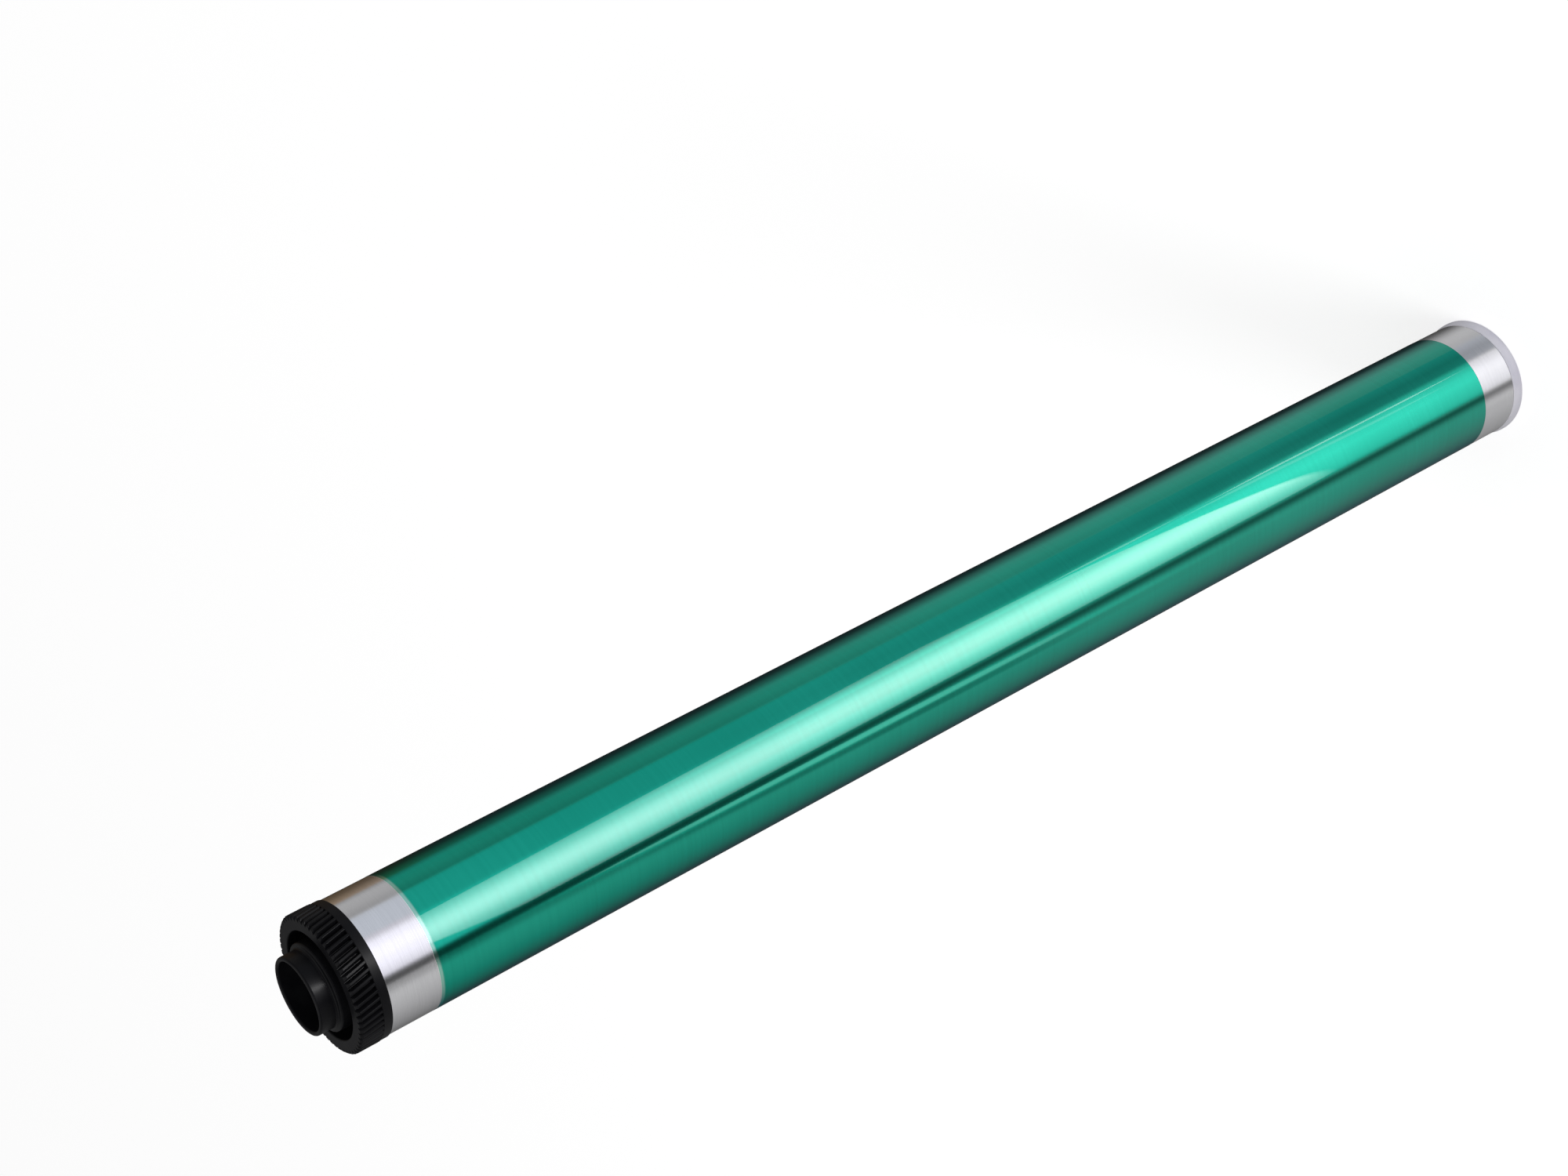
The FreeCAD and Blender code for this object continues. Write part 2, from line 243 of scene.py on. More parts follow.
# Photoconductor coating: a green layer of dye and clear resin dipped on to the tube and dried.
# The metal shines through it as green, and its own glass-smooth skin reflects on top. The ends
# are wiped off, which leaves a thin pale strip. Beside the gear, a narrow near-white band is a
# painted highlight that stands for the glint on the layer's rounded rim.
COATING_THICKNESS = 0.03
BARE_BAND_AT_FLANGE = 11.2
BARE_BAND_AT_GEAR = 11.4
COATING_BOTTOM = TUBE_BOTTOM + BARE_BAND_AT_FLANGE
COATING_TOP = TUBE_TOP - BARE_BAND_AT_GEAR
COATING_LOWER_FILLET = 0.02
COATING_UPPER_FILLET = 0.025
PALE_STRIP = 1.0
PALE_STRIP_WAVE = 0.25
# Width of the band at the coating's top end that is painted as a highlight.
PAINTED_HIGHLIGHT_BAND = 0.22
GREEN_DEEP = (0.008, 0.430, 0.295, 1.0)
GREEN_THIN = (0.013, 0.480, 0.335, 1.0)
GREEN_GLANCING = (0.020, 0.380, 0.480, 1.0)
GREEN_WIPED = (0.360, 0.720, 0.600, 1.0)
# Near-white of the painted highlight on the coating's rim beside the gear.
PAINTED_HIGHLIGHT_WHITE = (0.920, 0.950, 0.930, 1.0)

coating_green, place, feed = finish(
    "green_coating",
    Metallic=1.0,
    Anisotropic=0.6,
    Anisotropic_Rotation=0.25,
    Specular_Tint=GREEN_GLANCING,
    Coat_Weight=1.0,
    Coat_Roughness=0.0,
    Coat_IOR=1.5,
)
height = place.part(2)
dip_drift = place.noise((12.0, 12.0, 26.0), detail=2.0)
draw_rings = place.noise((6.0, 6.0, 900.0), detail=5.0, rough=0.65)
layer = (0.6 * dip_drift + 0.4 * draw_rings).rise(0.36, 0.64).mix(GREEN_DEEP, GREEN_THIN)
wavy = PALE_STRIP_WAVE * MM * place.noise((260.0, 260.0, 40.0))
wiped = (height + wavy).rise((COATING_TOP - PALE_STRIP) * MM, (COATING_TOP - PALE_STRIP / 2) * MM)
# Painted highlight: the coating's last fifth of a millimetre beside the gear turns near-white in
# its base colour, for the glint on its rounded rim.
painted_highlight = height.rise((COATING_TOP - PAINTED_HIGHLIGHT_BAND) * MM, (COATING_TOP - PAINTED_HIGHLIGHT_BAND / 2) * MM)
feed("Base Color", painted_highlight.mix(wiped.mix(layer, GREEN_WIPED), PAINTED_HIGHLIGHT_WHITE))
feed("Roughness", 0.11 + 0.03 * draw_rings + 0.03 * dip_drift)
feed("Normal", draw_rings.bump(0.08, 0.004 * MM))

coating_shell = turned_shell(
    [
        (TUBE_RADIUS, COATING_BOTTOM, 0.0),
        (TUBE_RADIUS + COATING_THICKNESS, COATING_BOTTOM, COATING_LOWER_FILLET),
        (TUBE_RADIUS + COATING_THICKNESS, COATING_TOP, COATING_UPPER_FILLET),
        (TUBE_RADIUS, COATING_TOP, 0.0),
    ],
    TUBE_COLUMNS,
    steps=3,
)
coating = piece_of("green_layer", [coating_shell], coating_green)
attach(coating, "root")
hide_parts("photoconductor_coating")

# Drive gear flange: one moulding in black acetal, glued in the tube's top end. It carries the
# collar, 60 helical teeth, a deep annular recess and a hollow nose, and inside the tube the
# web, the hub with the shaft's bore, six ribs and the spigot. Its edges are moulded soft.
BLACK_DEEP = (0.004, 0.004, 0.005, 1.0)
BLACK_LIGHT = (0.007, 0.007, 0.008, 1.0)
# Collar and teeth
COLLAR_STEP = 0.2
COLLAR_RADIUS = TUBE_RADIUS + COLLAR_STEP
COLLAR_HEIGHT = 2.0
COLLAR_LOWER_FILLET = 0.06
COLLAR_UPPER_FILLET = 0.12
GEAR_TEETH = 60
GEAR_WIDTH = 5.3
GEAR_BOTTOM = TUBE_TOP + COLLAR_HEIGHT
GEAR_FRONT = GEAR_BOTTOM + GEAR_WIDTH
HELIX_TURN = math.radians(-4.36)
TOOTH_STEP = 0.3
TOOTH_DEPTH = 1.11
TOOTH_TIP_RADIUS = TUBE_RADIUS + TOOTH_STEP
TOOTH_ROOT_RADIUS = TOOTH_TIP_RADIUS - TOOTH_DEPTH
TOOTH_CHAMFER = 0.5
CHAMFER_FILLET = 0.25
TOOTH_ROWS = 5
RING_UNDER_TEETH = TOOTH_ROOT_RADIUS - 0.3
# Half a tooth from the middle of a gap to its tip: degrees from the tooth's centre line, and
# the rise there over the root. The flank is rounded off at its foot and at the tip, and
# stands about 0.07 mm further out than the solid's.
TOOTH_DEGREES = (-3.0, -2.72, -2.45, -2.22, -1.72, -1.28, -1.06, -0.76)
TOOTH_RISES = (0.0, 0.01, 0.08, 0.26, 0.62, 0.94, 1.06, TOOTH_DEPTH)
# Recess, shoulder, nose and socket
RING_WALL = 2.2
RECESS_OUTER = TOOTH_ROOT_RADIUS - RING_WALL
RECESS_WIDTH = 2.25
RECESS_INNER = RECESS_OUTER - RECESS_WIDTH
RECESS_DEPTH = 5.2
RECESS_FLOOR = GEAR_FRONT - RECESS_DEPTH
RECESS_FILLET = 0.3
SHOULDER_HEIGHT = 1.0
SHOULDER_TOP = GEAR_FRONT + SHOULDER_HEIGHT
SHOULDER_STEP = 1.1
SHOULDER_FILLET = 0.45
NOSE_RADIUS = RECESS_INNER - SHOULDER_STEP
NOSE_HEIGHT = 4.0
NOSE_TOP = SHOULDER_TOP + NOSE_HEIGHT
NOSE_ROOT_FILLET = 0.55
NOSE_LIP_FILLET = 0.48
NOSE_WALL = 1.05
SOCKET_RADIUS = NOSE_RADIUS - NOSE_WALL
SOCKET_DEPTH = 10.0
SOCKET_FLOOR = NOSE_TOP - SOCKET_DEPTH
# Shaft bore, hub, spigot, web and ribs
BORE_RADIUS = 4.0
BORE_LEAD = 0.4
HUB_WALL = 2.0
HUB_RADIUS = BORE_RADIUS + HUB_WALL
GLUE_GAP = 0.02
SPIGOT_LENGTH = 8.0
SPIGOT_WALL = 1.5
SPIGOT_RADIUS = REGISTER_RADIUS - GLUE_GAP
SPIGOT_INNER = SPIGOT_RADIUS - SPIGOT_WALL
SPIGOT_FILLET = 0.2
HUB_SHORT_OF_SPIGOT = 1.3
GEAR_SPIGOT_BOTTOM = TUBE_TOP - SPIGOT_LENGTH
GEAR_HUB_BOTTOM = GEAR_SPIGOT_BOTTOM + HUB_SHORT_OF_SPIGOT
GEAR_WEB = 2.0
GEAR_WEB_UNDERSIDE = RECESS_FLOOR - GEAR_WEB
RIB_COUNT = 6
RIB_THICKNESS = 1.2
RIB_DEPTH = 4.5
RIB_INTO_HUB = 1.0
RIB_INTO_SPIGOT = 0.75
RIB_INTO_WEB = 0.5


def block_shell(length, width, low, high, start, angle):
    """Closed block that runs outwards along a radius turned to an angle.

    Its corners lie at start and at start + length along that radius, half the width to either
    side of it, at the heights low and high.
    """
    x = np.array([start, start + length, start + length, start]) * MM
    y = np.array([-width, -width, width, width]) / 2 * MM
    across = np.stack([x * np.cos(angle) - y * np.sin(angle),
                       x * np.sin(angle) + y * np.cos(angle)], -1)
    points = np.concatenate([np.insert(across, 2, level * MM, 1) for level in (low, high)])
    quads = [(3, 2, 1, 0), (4, 5, 6, 7), (0, 1, 5, 4), (1, 2, 6, 5), (2, 3, 7, 6), (3, 0, 4, 7)]
    return points, np.array(quads)


def rib_shells(low, high):
    """The ribs between a flange's hub and its spigot, evenly spaced from azimuth 0.

    Each runs a little way into the hub, the spigot and the web, as one moulding does.
    """
    start = HUB_RADIUS - RIB_INTO_HUB
    length = SPIGOT_INNER + RIB_INTO_SPIGOT - start
    turns = np.arange(RIB_COUNT) * 2 * math.pi / RIB_COUNT
    return [block_shell(length, RIB_THICKNESS, low, high, start, turn) for turn in turns]


def gear_shell(before, after):
    """Toothed ring between the section's corners before it and those after it.

    Round the axis, each tooth repeats one outline of radii, half a tooth and its mirror image.
    Up the axis, that outline turns in step with the height, which makes the helix, and it is
    cut down to the chamfer's radius wherever that is less.
    """
    degrees = np.array(TOOTH_DEGREES)
    radii = TOOTH_ROOT_RADIUS + np.array(TOOTH_RISES)
    degrees = np.concatenate([degrees, [0.0], -degrees[:0:-1]])
    outline = np.tile(np.concatenate([radii, [TOOTH_TIP_RADIUS], radii[:0:-1]]), GEAR_TEETH)
    pitch = np.arange(GEAR_TEETH)[:, None] * 360.0 / GEAR_TEETH
    columns = np.radians(pitch + degrees).ravel()
    past_tip = TOOTH_TIP_RADIUS + 0.001
    bevel = section(
        [
            (0.0, GEAR_BOTTOM, 0.0),
            (past_tip, GEAR_BOTTOM, 0.0),
            (past_tip, GEAR_FRONT - TOOTH_CHAMFER, CHAMFER_FILLET),
            (TOOTH_TIP_RADIUS - TOOTH_CHAMFER, GEAR_FRONT, CHAMFER_FILLET),
            (0.0, GEAR_FRONT, 0.0),
        ],
        steps=4,
    )[1:-1] / MM
    middle = np.linspace(GEAR_BOTTOM, GEAR_FRONT - TOOTH_CHAMFER, TOOTH_ROWS + 2)[1:-1]
    straight = np.stack([np.full(TOOTH_ROWS, bevel[0, 0]), middle], -1)
    limit = np.concatenate([bevel[:1], straight, bevel[1:]])
    limit = limit[limit[:, 0] > RING_UNDER_TEETH - 0.1]
    body = section(before + after, steps=4) / MM
    above_collar = body[:, 1] > GEAR_BOTTOM + 0.01
    seam = np.argmax(above_collar)
    radius = np.concatenate([
        np.repeat(body[:seam, :1], len(columns), 1),
        np.minimum(limit[:, :1], outline[None]),
        np.repeat(body[seam:, :1], len(columns), 1),
    ])
    level = np.concatenate([body[:seam, 1], limit[:, 1], body[seam:, 1]])[:, None]
    twist = np.clip((level - GEAR_BOTTOM) / (GEAR_FRONT - GEAR_BOTTOM), 0, 1) * HELIX_TURN
    return ring_shell(radius * MM, level * MM, columns[None] + twist)


acetal, place, feed = finish("black_acetal", Specular_IOR_Level=0.105)
grain = place.noise((2600.0, 2600.0, 2600.0), detail=3.0)
flow = place.noise((240.0, 240.0, 240.0), detail=3.0)
nose_skin = place.part(2).rise((GEAR_FRONT + 0.4) * MM, (SHOULDER_TOP + 0.6) * MM)
feed("Base Color", flow.rise(0.35, 0.7).mix(BLACK_DEEP, BLACK_LIGHT))
feed("Roughness", 0.34 + 0.06 * flow + 0.04 * grain - 0.06 * nose_skin)
feed("Normal", (grain + 0.6 * flow).bump(0.3, 0.012 * MM))

gear_before = [
    (SPIGOT_INNER, GEAR_SPIGOT_BOTTOM, 0.0),
    (SPIGOT_RADIUS, GEAR_SPIGOT_BOTTOM, SPIGOT_FILLET),
    (SPIGOT_RADIUS, TUBE_TOP, 0.0),
    (COLLAR_RADIUS, TUBE_TOP, COLLAR_LOWER_FILLET),
    (COLLAR_RADIUS, GEAR_BOTTOM, COLLAR_UPPER_FILLET),
    (RING_UNDER_TEETH, GEAR_BOTTOM, 0.0),
]
gear_after = [
    (RING_UNDER_TEETH, GEAR_FRONT, 0.0),
    (RECESS_OUTER, GEAR_FRONT, RECESS_FILLET),
    (RECESS_OUTER, RECESS_FLOOR, RECESS_FILLET),
    (RECESS_INNER, RECESS_FLOOR, RECESS_FILLET),
    (RECESS_INNER, SHOULDER_TOP, SHOULDER_FILLET),
    (NOSE_RADIUS, SHOULDER_TOP, NOSE_ROOT_FILLET),
    (NOSE_RADIUS, NOSE_TOP, NOSE_LIP_FILLET),
    (SOCKET_RADIUS, NOSE_TOP, NOSE_LIP_FILLET),
    (SOCKET_RADIUS, SOCKET_FLOOR, RECESS_FILLET),
    (BORE_RADIUS + BORE_LEAD, SOCKET_FLOOR, 0.0),
    (BORE_RADIUS, SOCKET_FLOOR - BORE_LEAD, 0.0),
    (BORE_RADIUS, GEAR_HUB_BOTTOM, 0.0),
    (HUB_RADIUS, GEAR_HUB_BOTTOM, 0.0),
    (HUB_RADIUS, GEAR_WEB_UNDERSIDE, 0.0),
    (SPIGOT_INNER, GEAR_WEB_UNDERSIDE, 0.0),
]
gear_ribs = rib_shells(GEAR_WEB_UNDERSIDE - RIB_DEPTH, GEAR_WEB_UNDERSIDE + RIB_INTO_WEB)
gear_flange = piece_of("gear_flange", [gear_shell(gear_before, gear_after)] + gear_ribs, acetal)
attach(gear_flange, "root")
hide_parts("drive_gear_flange")

# End flange: one moulding in natural white acetal, glued in the tube's bottom end. Outside
# are a plain collar and a flat rim round a shallow recess; inside are the hub, ribs, spigot
# and two pins that hold the earth plate.
END_COLLAR_STEP = 0.4
END_COLLAR_RADIUS = TUBE_RADIUS + END_COLLAR_STEP
END_COLLAR_FILLET = 0.4
END_FLARE_TOP = 1.2
END_FLARE_FILLET = 2.5
END_FLARE_STEP = 0.02
END_RIM_WIDTH = 3.0
END_RIM_INNER = END_COLLAR_RADIUS - END_RIM_WIDTH
END_RIM_FILLET = 0.2
END_RECESS = 1.0
END_WEB = 1.8
END_WEB_TOP = END_RECESS + END_WEB
END_SPIGOT_TOP = TUBE_BOTTOM + SPIGOT_LENGTH
END_HUB_TOP = END_SPIGOT_TOP - HUB_SHORT_OF_SPIGOT
PIN_CIRCLE = (HUB_RADIUS + SPIGOT_INNER) / 2
PIN_BOSS_RADIUS = 1.8
PIN_RADIUS = 0.75
PIN_PROUD = 0.9
PIN_TOP = END_SPIGOT_TOP + PIN_PROUD
PIN_FOOT = END_RECESS + 0.5
PIN_FILLET = 0.15
PIN_CORE = 0.05
PIN_COLUMNS = 32
WHITE_SHADE = (0.735, 0.725, 0.795, 1.0)
WHITE_LIGHT = (0.830, 0.820, 0.875, 1.0)

natural, place, feed = finish(
    "natural_acetal",
    Specular_IOR_Level=0.5,
    Subsurface_Weight=0.25,
    Subsurface_Radius=(1.0, 1.0, 1.0),
    Subsurface_Scale=0.8 * MM,
)
flow = place.noise((130.0, 130.0, 260.0), detail=4.0)
grain = place.noise((2200.0, 2200.0, 2200.0), detail=2.0)
feed("Base Color", flow.rise(0.3, 0.7).mix(WHITE_SHADE, WHITE_LIGHT))
feed("Roughness", 0.36 + 0.08 * flow + 0.04 * grain)
feed("Normal", (grain + flow).bump(0.25, 0.01 * MM))

end_shell = turned_shell(
    [
        (END_RIM_INNER, 0.0, END_RIM_FILLET),
        (END_COLLAR_RADIUS, 0.0, END_COLLAR_FILLET),
        (END_COLLAR_RADIUS, END_FLARE_TOP, END_FLARE_FILLET),
        (TUBE_RADIUS + END_FLARE_STEP, TUBE_BOTTOM, 0.0),
        (SPIGOT_RADIUS, TUBE_BOTTOM, 0.0),
        (SPIGOT_RADIUS, END_SPIGOT_TOP, SPIGOT_FILLET),
        (SPIGOT_INNER, END_SPIGOT_TOP, 0.0),
        (SPIGOT_INNER, END_WEB_TOP, 0.0),
        (HUB_RADIUS, END_WEB_TOP, 0.0),
        (HUB_RADIUS, END_HUB_TOP, 0.0),
        (BORE_RADIUS, END_HUB_TOP, 0.0),
        (BORE_RADIUS, END_RECESS + BORE_LEAD, 0.0),
        (BORE_RADIUS + BORE_LEAD, END_RECESS, 0.0),
        (END_RIM_INNER, END_RECESS, END_RIM_FILLET),
    ],
    TUBE_COLUMNS,
)


def pin_shells(side):
    """Boss and pin on one side of the axis: two closed sleeves, each round a hair-thin core."""
    shells = []
    for radius, top in ((PIN_BOSS_RADIUS, END_SPIGOT_TOP), (PIN_RADIUS, PIN_TOP)):
        corners = [(PIN_CORE, PIN_FOOT, 0), (radius, PIN_FOOT, 0),
                   (radius, top, PIN_FILLET), (PIN_CORE, top, 0)]
        points, quads = turned_shell(corners, PIN_COLUMNS)
        shells.append((points + [side * PIN_CIRCLE * MM, 0, 0], quads))
    return shells


end_ribs = rib_shells(END_WEB_TOP - RIB_INTO_WEB, END_WEB_TOP + RIB_DEPTH)
end_pins = pin_shells(1) + pin_shells(-1)
end_flange = piece_of("white_flange", [end_shell] + end_ribs + end_pins, natural)
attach(end_flange, "root")
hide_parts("end_flange")

# Earth plate: stamped from thin spring sheet and pressed over the end flange's pins, inside
# the drum. Its barbs bite the tube and its tongues rub on the shaft. The CAD shape is right.
STEEL_DARK = (0.52, 0.51, 0.48, 1.0)
STEEL_LIGHT = (0.70, 0.69, 0.66, 1.0)

spring_steel, place, feed = finish("spring_steel", Metallic=1.0)
rolled = place.noise((300.0, 9000.0, 9000.0), detail=3.0)
feed("Base Color", rolled.mix(STEEL_DARK, STEEL_LIGHT))
feed("Roughness", 0.28 + 0.14 * rolled)
feed("Normal", rolled.bump(0.3, 0.005 * MM))
for plate_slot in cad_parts["earth_plate"].material_slots:
    plate_slot.material = spring_steel

# Studio: a tent of pale panels that lights the drum and shows in its metal, painted into the
# world by direction. Satin metal blurs the one large lamp into an upright band of light. The
# coating's own skin is a mirror, so its rays see the lamp itself, sharp and far brighter.

# A panel's azimuth in degrees, then its light high up and low down, where 1 is white paper,
# and the elevations between which the first light gives way to the second.
PANELS = (
    (-270, 0.22, 0.22), (-262, 0.18, 0.20), (-252, 0.15, 0.22), (-245, 0.16, 0.26),
    (-225, 0.26, 0.34), (-205, 0.36, 0.39), (-185, 0.47, 0.46), (-165, 0.56, 0.54),
    (-155, 0.58, 0.56), (-150, 0.48, 0.54), (-146, 0.34, 0.46), (-142, 0.20, 0.31),
    (-138, 0.11, 0.17), (-134, 0.05, 0.14), (-129, 0.05, 0.45), (-126, 0.20, 0.88),
    (-122, 0.80, 1.22), (-116, 0.92, 1.38), (-104, 1.12, 1.60), (-92, 1.26, 1.84),
    (-80, 1.20, 1.68), (-70, 1.05, 1.32), (-61, 0.68, 0.72), (-56, 0.66, 0.36),
    (-40, 0.66, 0.30), (-21, 0.62, 0.44), (-16, 0.32, 0.46), (0, 0.42, 0.55),
    (16, 0.46, 0.56), (30, 0.20, 0.36), (50, 0.09, 0.10), (68, 0.06, 0.06),
)
HIGH_EDGE = -18.0
LOW_EDGE = -44.0
# Above the panels, by elevation: where each sky begins, where it is full, and its light.
SKIES = ((2.0, 12.0, 0.20), (35.0, 60.0, 1.00))
# Below the bright panels: from and to azimuth, the elevations between which they end, and the
# light beneath them.
BRIGHT_FOOT = (-127, -63, -46.0, -48.5, 0.15)
# The tints of parts of the panels: from and to azimuth, foot, head and colour. A head is
# blurred by more degrees than the other edges.
TINTS = (
    (-127, -57, -31, 90, (1.00, 0.99, 1.09, 1.0)),
    (-127, -57, -50, -33, (1.00, 1.00, 1.03, 1.0)),
    (-57, -19, -50, 90, (0.94, 1.00, 1.10, 1.0)),
    (25, 75, -21, 90, (1.40, 0.95, 0.55, 1.0)),
    (-127, -105, -34, -26, (1.14, 1.14, 1.14, 1.0)),
    (-102, -87, -38, -26, (0.88, 0.88, 0.85, 1.0)),
    (-72, -62, -38, -26, (1.28, 1.28, 1.28, 1.0)),
)
EDGE_BLUR = 1.0
HEAD_BLUR = 3.0
# Azimuth and elevation of the lamp's corners. It fades in between two elevations, and falls
# from its light in the middle to that of its rim.
LAMP = (
    (-71.5, -15), (-110, -20.2), (-127, -21.3), (-127, -40.6), (-125.5, -41.2), (-112, -41),
    (-99, -40.3), (-84, -38.7), (-70, -36.4), (-63, -34.6), (-57.5, -32),
)
LAMP_FADE = (-15.5, -20.5)
LAMP_CENTRE = -93.0
LAMP_SPREAD = 18.5
LAMP_LIGHT = 8.5
LAMP_RIM_LIGHT = 1.6
# How much of the panels' light the skin shows, high up and low down, how little of it in one
# dark stretch, and the azimuths between which it falls to a small share on either side.
MIRRORED = (0.25, 0.75)
MIRRORED_GAP = (-128, -19, 0.4)
MIRRORED_SIDES = ((-190, -245), (30, 62))
MIRRORED_SIDE = 0.28
# The corners of a small second lamp and of the shade beside it, and the ends and light of
# three slits between the panels.
GLEAM = (
    (-139.5, -23.6), (-146, -26.2), (-152.5, -31.8), (-156, -35), (-149, -35),
    (-143, -31.8), (-140.3, -28.4),
)
GLEAM_LIGHT = 1.1
SHADE = ((-146, -24.5), (-153, -25), (-162, -29.5), (-168, -34.5), (-157, -34.5))
SHADE_LIGHT = 0.25
SLITS = (
    ((-62.5, -35.2), (-65.5, -37.6), 2.4),
    ((-64.3, -39.3), (-68.8, -43.8), 4.5),
    ((-68, -38.7), (-80, -43.3), 1.6),
)
SLIT_WIDTH = 1.8

world = bpy.data.worlds.new("studio")
bpy.context.scene.world = world
world.use_nodes = True
world.node_tree.nodes.clear()
tent = Wire(world.node_tree)
ray = tent.node("TexCoord", output="Generated")
# A direction's azimuth from -270 to 90 degrees, counted from +X towards +Y, its elevation, and
# how far round from the first panel it is.
turn = tent.math("ARCTAN2", ray.part(0), -1.0 * ray.part(1)) * math.degrees(1.0) - 90.0
tilt = tent.math("ARCSINE", ray.part(2)) * math.degrees(1.0)
bearing = tent.node("CombineXYZ", {0: turn, 1: tilt, 2: 1.0})
around = (turn - PANELS[0][0]) * (1 / 360.0)


def grey(level):
    return (level,) * 3 + (1.0,)


def panels(level):
    """Ramp round the horizon through the panels' light at one level, 1 high up, 2 low down.

    A new ramp already has its first and last stops, so these two are set before the rest.
    """
    placed = [((row[0] - PANELS[0][0]) / 360, grey(row[level])) for row in PANELS]
    placed = [placed[0], placed[-1]] + placed[1:-1]
    return tent.node("ValToRGB", {0: around}, stops=placed)


def patch(corners, soft=0.3):
    """1 inside corners of azimuth and elevation, with azimuth to the right and anticlockwise.

    A bearing's distance inside the side from p to q is the cross product of q - p and of the
    bearing - p, divided by the side's length. That is one dot product with (x, y, 1).
    """
    inside = None
    for p, q in zip(corners, corners[1:] + corners[:1]):
        side = np.subtract(q, p) / math.dist(p, q)
        inward = (-side[1], side[0], side[1] * p[0] - side[0] * p[1])
        depth = tent.node("VectorMath", {0: bearing, 1: inward}, output=1, operation="DOT_PRODUCT")
        within = depth.rise(-soft, soft)
        inside = within if inside is None else inside * within
    return inside


def slit(start, end):
    """Narrow patch along the line between two bearings."""
    run = np.subtract(end, start)
    aside = np.array([run[1], -run[0]]) / math.hypot(*run) * SLIT_WIDTH / 2
    corners = (start - aside, start + aside, end + aside, end - aside)
    return patch([tuple(corner) for corner in corners], soft=0.5)


def stretch(first, last):
    """1 between two azimuths."""
    past_first = turn.rise(first - EDGE_BLUR, first + EDGE_BLUR)
    return past_first * turn.rise(last + EDGE_BLUR, last - EDGE_BLUR)


low = tilt.rise(HIGH_EDGE, LOW_EDGE)
walls = low.mix(panels(1), panels(2))
for first, last, foot, head, colour in TINTS:
    above = tilt.rise(foot - EDGE_BLUR, foot + EDGE_BLUR)
    below = tilt.rise(head + HEAD_BLUR, head - HEAD_BLUR)
    tint = (stretch(first, last) * above * below).mix(grey(1.0), colour)
    walls = tent.node("VectorMath", {0: walls, 1: tint}, operation="MULTIPLY")
for start, full, light in SKIES:
    walls = tilt.rise(start, full).mix(walls, grey(light))
first, last, start, full, light = BRIGHT_FOOT
walls = (stretch(first, last) * tilt.rise(start, full)).mix(walls, grey(light))
walls = patch(SHADE, soft=1.5).mix(walls, grey(SHADE_LIGHT))
gleam = patch(GLEAM, soft=0.4)
blurred = gleam.mix(walls, grey(GLEAM_LIGHT))

off_centre = (turn - LAMP_CENTRE) * (1 / LAMP_SPREAD)
fall = tent.math("EXPONENT", -1.0 * off_centre * off_centre)
hung = patch(LAMP) * tilt.rise(*LAMP_FADE)
mirrored = gleam + hung * (LAMP_RIM_LIGHT + (LAMP_LIGHT - LAMP_RIM_LIGHT) * fall)
for start, end, light in SLITS:
    mirrored = mirrored + slit(start, end) * light
kept = low.mix(grey(MIRRORED[0]), grey(MIRRORED[1]))
for near, far in MIRRORED_SIDES:
    kept = turn.rise(near, far).mix(kept, grey(MIRRORED_SIDE))
first, last, share = MIRRORED_GAP
kept = (stretch(first, last) * (1.0 - share)).mix(kept, grey(0.0))
dim = tent.node("VectorMath", {0: walls, 1: kept}, operation="MULTIPLY")
white = tent.node("CombineXYZ", {0: mirrored, 1: mirrored, 2: mirrored})
sharp = tent.node("VectorMath", {0: dim, 1: white}, operation="MAXIMUM")


def shine(light):
    """Background shader of one light."""
    return tent.node("Background", {"Color": light})


def by_ray(kind, own, other):
    """One shader for rays of a kind and another for the rest."""
    return tent.node("MixShader", {0: tent.node("LightPath", output=kind), 1: other, 2: own})


around_drum = by_ray("Is Singular Ray", shine(sharp), shine(blurred))
seen = by_ray("Is Camera Ray", shine(grey(1.0)), around_drum)
tent.node("OutputWorld", {"Surface": seen})

# Floor: seamless paper under the standing drum. A plain glow is added to the light that it
# sends back, so that it stays white in the picture and still takes the drum's soft shadow.
# From beneath, it is clear.
FLOOR_HALF = 30.0
PAPER_GLOW = 0.50
PAPER_DARK = (0.792, 0.792, 0.792, 1.0)
PAPER_LIGHT = (0.80, 0.80, 0.80, 1.0)

floor_mesh = bpy.data.meshes.new("floor")
floor_mesh.from_pydata(
    [(x * FLOOR_HALF, y * FLOOR_HALF, 0.0) for x, y in ((-1, -1), (1, -1), (1, 1), (-1, 1))],
    [],
    [(0, 1, 2, 3)],
)
floor = bpy.data.objects.new("floor", floor_mesh)
bpy.context.scene.collection.objects.link(floor)
paper = bpy.data.materials.new("paper")
paper.use_nodes = True
paper.node_tree.nodes.clear()
sheet = Wire(paper.node_tree)
fibre = sheet.node("TexCoord", output="Object").noise((900.0, 900.0, 900.0), detail=4.0)
matte = sheet.node("BsdfDiffuse", {"Color": fibre.mix(PAPER_DARK, PAPER_LIGHT)})
glow = sheet.node("Emission", {"Color": grey(1.0), "Strength": PAPER_GLOW})
front = sheet.node("AddShader", {0: matte, 1: glow})
clear = sheet.node("BsdfTransparent")
under = sheet.node("NewGeometry", output="Backfacing")
sheet.node("OutputMaterial", {"Surface": sheet.node("MixShader", {0: under, 1: front, 2: clear})})
floor_mesh.materials.append(paper)
floor.visible_diffuse = False
floor.visible_glossy = False
floor.visible_transmission = False
floor.visible_shadow = False

# Key light: a large soft lamp behind the camera and above it, off to one side. It gives the
# drum its soft shadow on the paper, and isn't seen in the metal, where the tent already stands.
KEY_PLACE = (-0.75, -1.1, 1.3)
KEY_AIM = (0.0, 0.0, 0.2)
KEY_SIZE = 0.6
KEY_POWER = 6.0

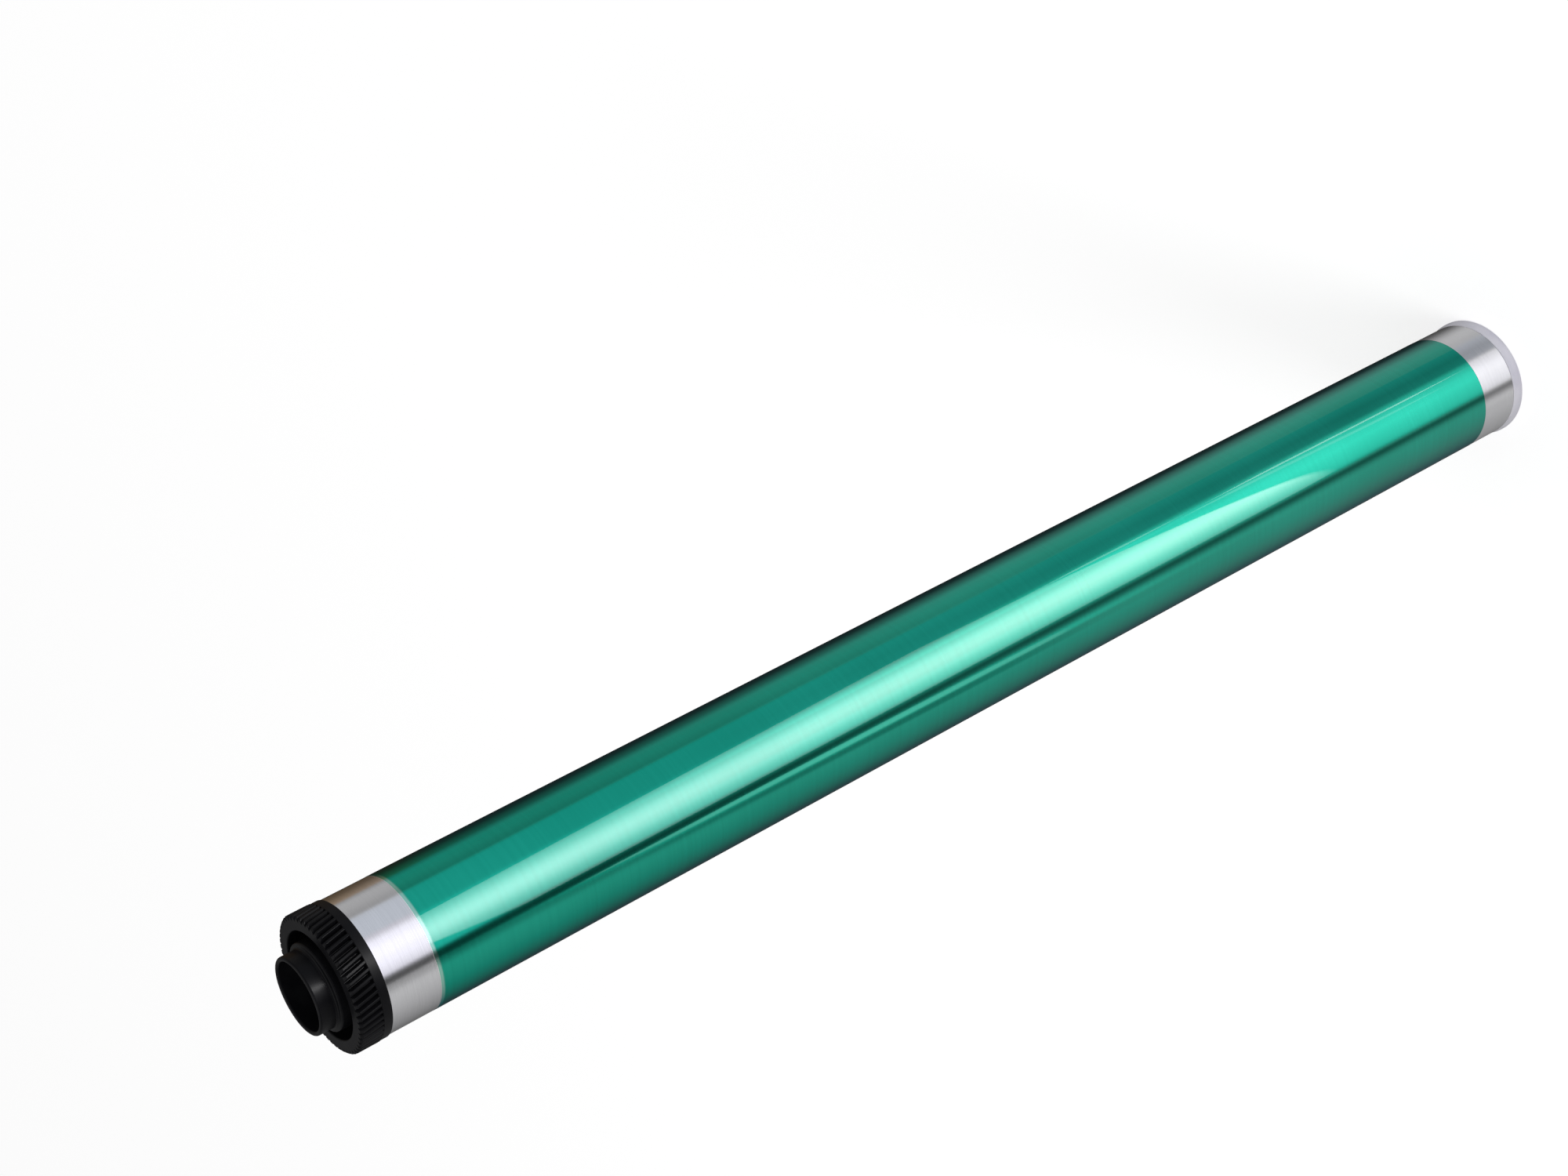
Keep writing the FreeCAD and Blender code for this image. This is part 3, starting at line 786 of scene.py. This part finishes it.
key_data = bpy.data.lights.new("key", "AREA")
key_data.shape = "DISK"
key_data.size = KEY_SIZE
key_data.energy = KEY_POWER
key = bpy.data.objects.new("key", key_data)
key.location = KEY_PLACE
key.rotation_euler = (Vector(KEY_AIM) - Vector(KEY_PLACE)).to_track_quat("-Z", "Y").to_euler()
key.visible_glossy = False
key.visible_camera = False
bpy.context.scene.collection.objects.link(key)

# Strip lamp: a small one beside the gear, for the soft light along its collar, teeth and nose.
# It is linked to the black moulding alone, because the tent already lights all of the metal.
STRIP_PLACE = (-0.012, -0.42, 0.185)
STRIP_AIM = (0.0, 0.0, 0.349)
STRIP_WIDTH = 0.03
STRIP_LENGTH = 0.12
STRIP_POWER = 1.0

strip_data = bpy.data.lights.new("strip", "AREA")
strip_data.shape = "RECTANGLE"
strip_data.size = STRIP_WIDTH
strip_data.size_y = STRIP_LENGTH
strip_data.energy = STRIP_POWER
strip = bpy.data.objects.new("strip", strip_data)
strip.location = STRIP_PLACE
strip.rotation_euler = (Vector(STRIP_AIM) - Vector(STRIP_PLACE)).to_track_quat("-Z", "Y").to_euler()
strip.visible_diffuse = False
strip.visible_camera = False
lit = bpy.data.collections.new("lit by the strip")
lit.objects.link(gear_flange)
strip.light_linking.receiver_collection = lit
bpy.context.scene.collection.objects.link(strip)

# Camera: it looks down the standing drum from the gear's side and is rolled, so that the drum
# crosses the picture from the lower left to the upper right, as if it lay on its side.
CAMERA_PLACE = (0.0, -0.5332, 0.5248)
CAMERA_RIGHT = Vector((-0.46603, -0.42571, -0.77562))
CAMERA_UP = Vector((0.88344, -0.27200, -0.38152))
CAMERA_LENS = 63.79
CAMERA_SENSOR = 36.0

camera_data = bpy.data.cameras.new("camera")
camera_data.lens = CAMERA_LENS
camera_data.sensor_width = CAMERA_SENSOR
camera_data.clip_start = 0.01
camera_data.clip_end = 100.0
camera = bpy.data.objects.new("camera", camera_data)
bpy.context.scene.collection.objects.link(camera)
axes = Matrix((CAMERA_RIGHT, CAMERA_UP, CAMERA_RIGHT.cross(CAMERA_UP))).transposed()
camera.matrix_world = Matrix.Translation(CAMERA_PLACE) @ axes.to_4x4()
bpy.context.scene.camera = camera
bpy.context.scene.view_settings.view_transform = "Standard"
